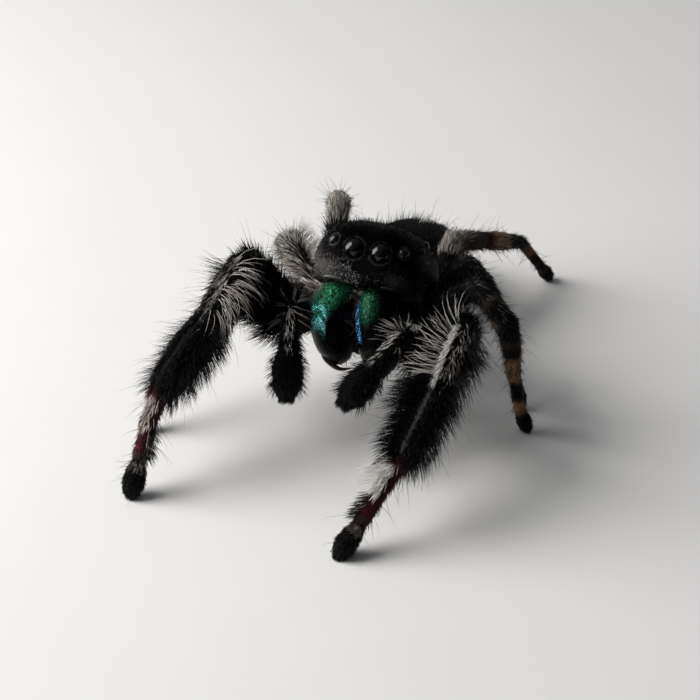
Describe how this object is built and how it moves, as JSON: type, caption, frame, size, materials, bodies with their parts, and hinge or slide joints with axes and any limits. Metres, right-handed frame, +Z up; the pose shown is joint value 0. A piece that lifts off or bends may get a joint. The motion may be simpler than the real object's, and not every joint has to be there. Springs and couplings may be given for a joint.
{
  "type": "jumping spider",
  "caption": "Hairy black jumping spider with shining green jaws, standing with its front raised, as a still life-size display model.",
  "frame": {"origin": "on the floor, under the middle of the whole spider's box", "axes": "+Z up, the head faces -Y, the spider's left side is +X"},
  "size_m": [0.0102, 0.0156, 0.0053],
  "materials": {
    "shell": "dark, finely wrinkled shell with a soft sheen",
    "black_fur": "short black hair",
    "pale_fur": "long greyish white hair over black skin",
    "red_shank": "dark red skin under sparse white and black hair",
    "banded_shank": "bands of tan and black hair",
    "chelicera": "finely ridged, iridescent green and blue",
    "fang": "smooth and glossy, near black",
    "eye": "polished black lens"
  },
  "bodies": {
    "root": {"carapace": "shell", "underbody": "shell", "eye_front_right": "eye", "eye_front_left": "eye", "eye_side_right": "eye", "eye_side_left": "eye", "eye_small_right": "eye", "eye_small_left": "eye", "eye_rear_right": "eye", "eye_rear_left": "eye", "chelicera_right": "chelicera", "fang_right": "fang", "chelicera_left": "chelicera", "fang_left": "fang", "abdomen": "black_fur", "spinnerets": "shell", "palp_right_arm": "pale_fur", "palp_right_tip": "black_fur", "palp_left_arm": "pale_fur", "palp_left_tip": "black_fur", "leg1_right_femur": "black_fur", "leg1_right_patella": "pale_fur", "leg1_right_tibia": "black_fur", "leg1_right_metatarsus": "red_shank", "leg1_right_tarsus": "black_fur", "leg1_left_femur": "black_fur", "leg1_left_patella": "pale_fur", "leg1_left_tibia": "black_fur", "leg1_left_metatarsus": "red_shank", "leg1_left_tarsus": "black_fur", "leg2_right_femur": "black_fur", "leg2_right_patella": "pale_fur", "leg2_right_tibia": "banded_shank", "leg2_right_metatarsus": "banded_shank", "leg2_right_tarsus": "black_fur", "leg2_left_femur": "black_fur", "leg2_left_patella": "pale_fur", "leg2_left_tibia": "banded_shank", "leg2_left_metatarsus": "banded_shank", "leg2_left_tarsus": "black_fur", "leg3_right_femur": "black_fur", "leg3_right_patella": "pale_fur", "leg3_right_tibia": "banded_shank", "leg3_right_metatarsus": "banded_shank", "leg3_right_tarsus": "black_fur", "leg3_left_femur": "black_fur", "leg3_left_patella": "pale_fur", "leg3_left_tibia": "banded_shank", "leg3_left_metatarsus": "banded_shank", "leg3_left_tarsus": "black_fur", "leg4_right_femur": "black_fur", "leg4_right_patella": "pale_fur", "leg4_right_tibia": "banded_shank", "leg4_right_metatarsus": "banded_shank", "leg4_right_tarsus": "black_fur", "leg4_left_femur": "black_fur", "leg4_left_patella": "pale_fur", "leg4_left_tibia": "banded_shank", "leg4_left_metatarsus": "banded_shank", "leg4_left_tarsus": "black_fur"}
  },
  "joints": []
}
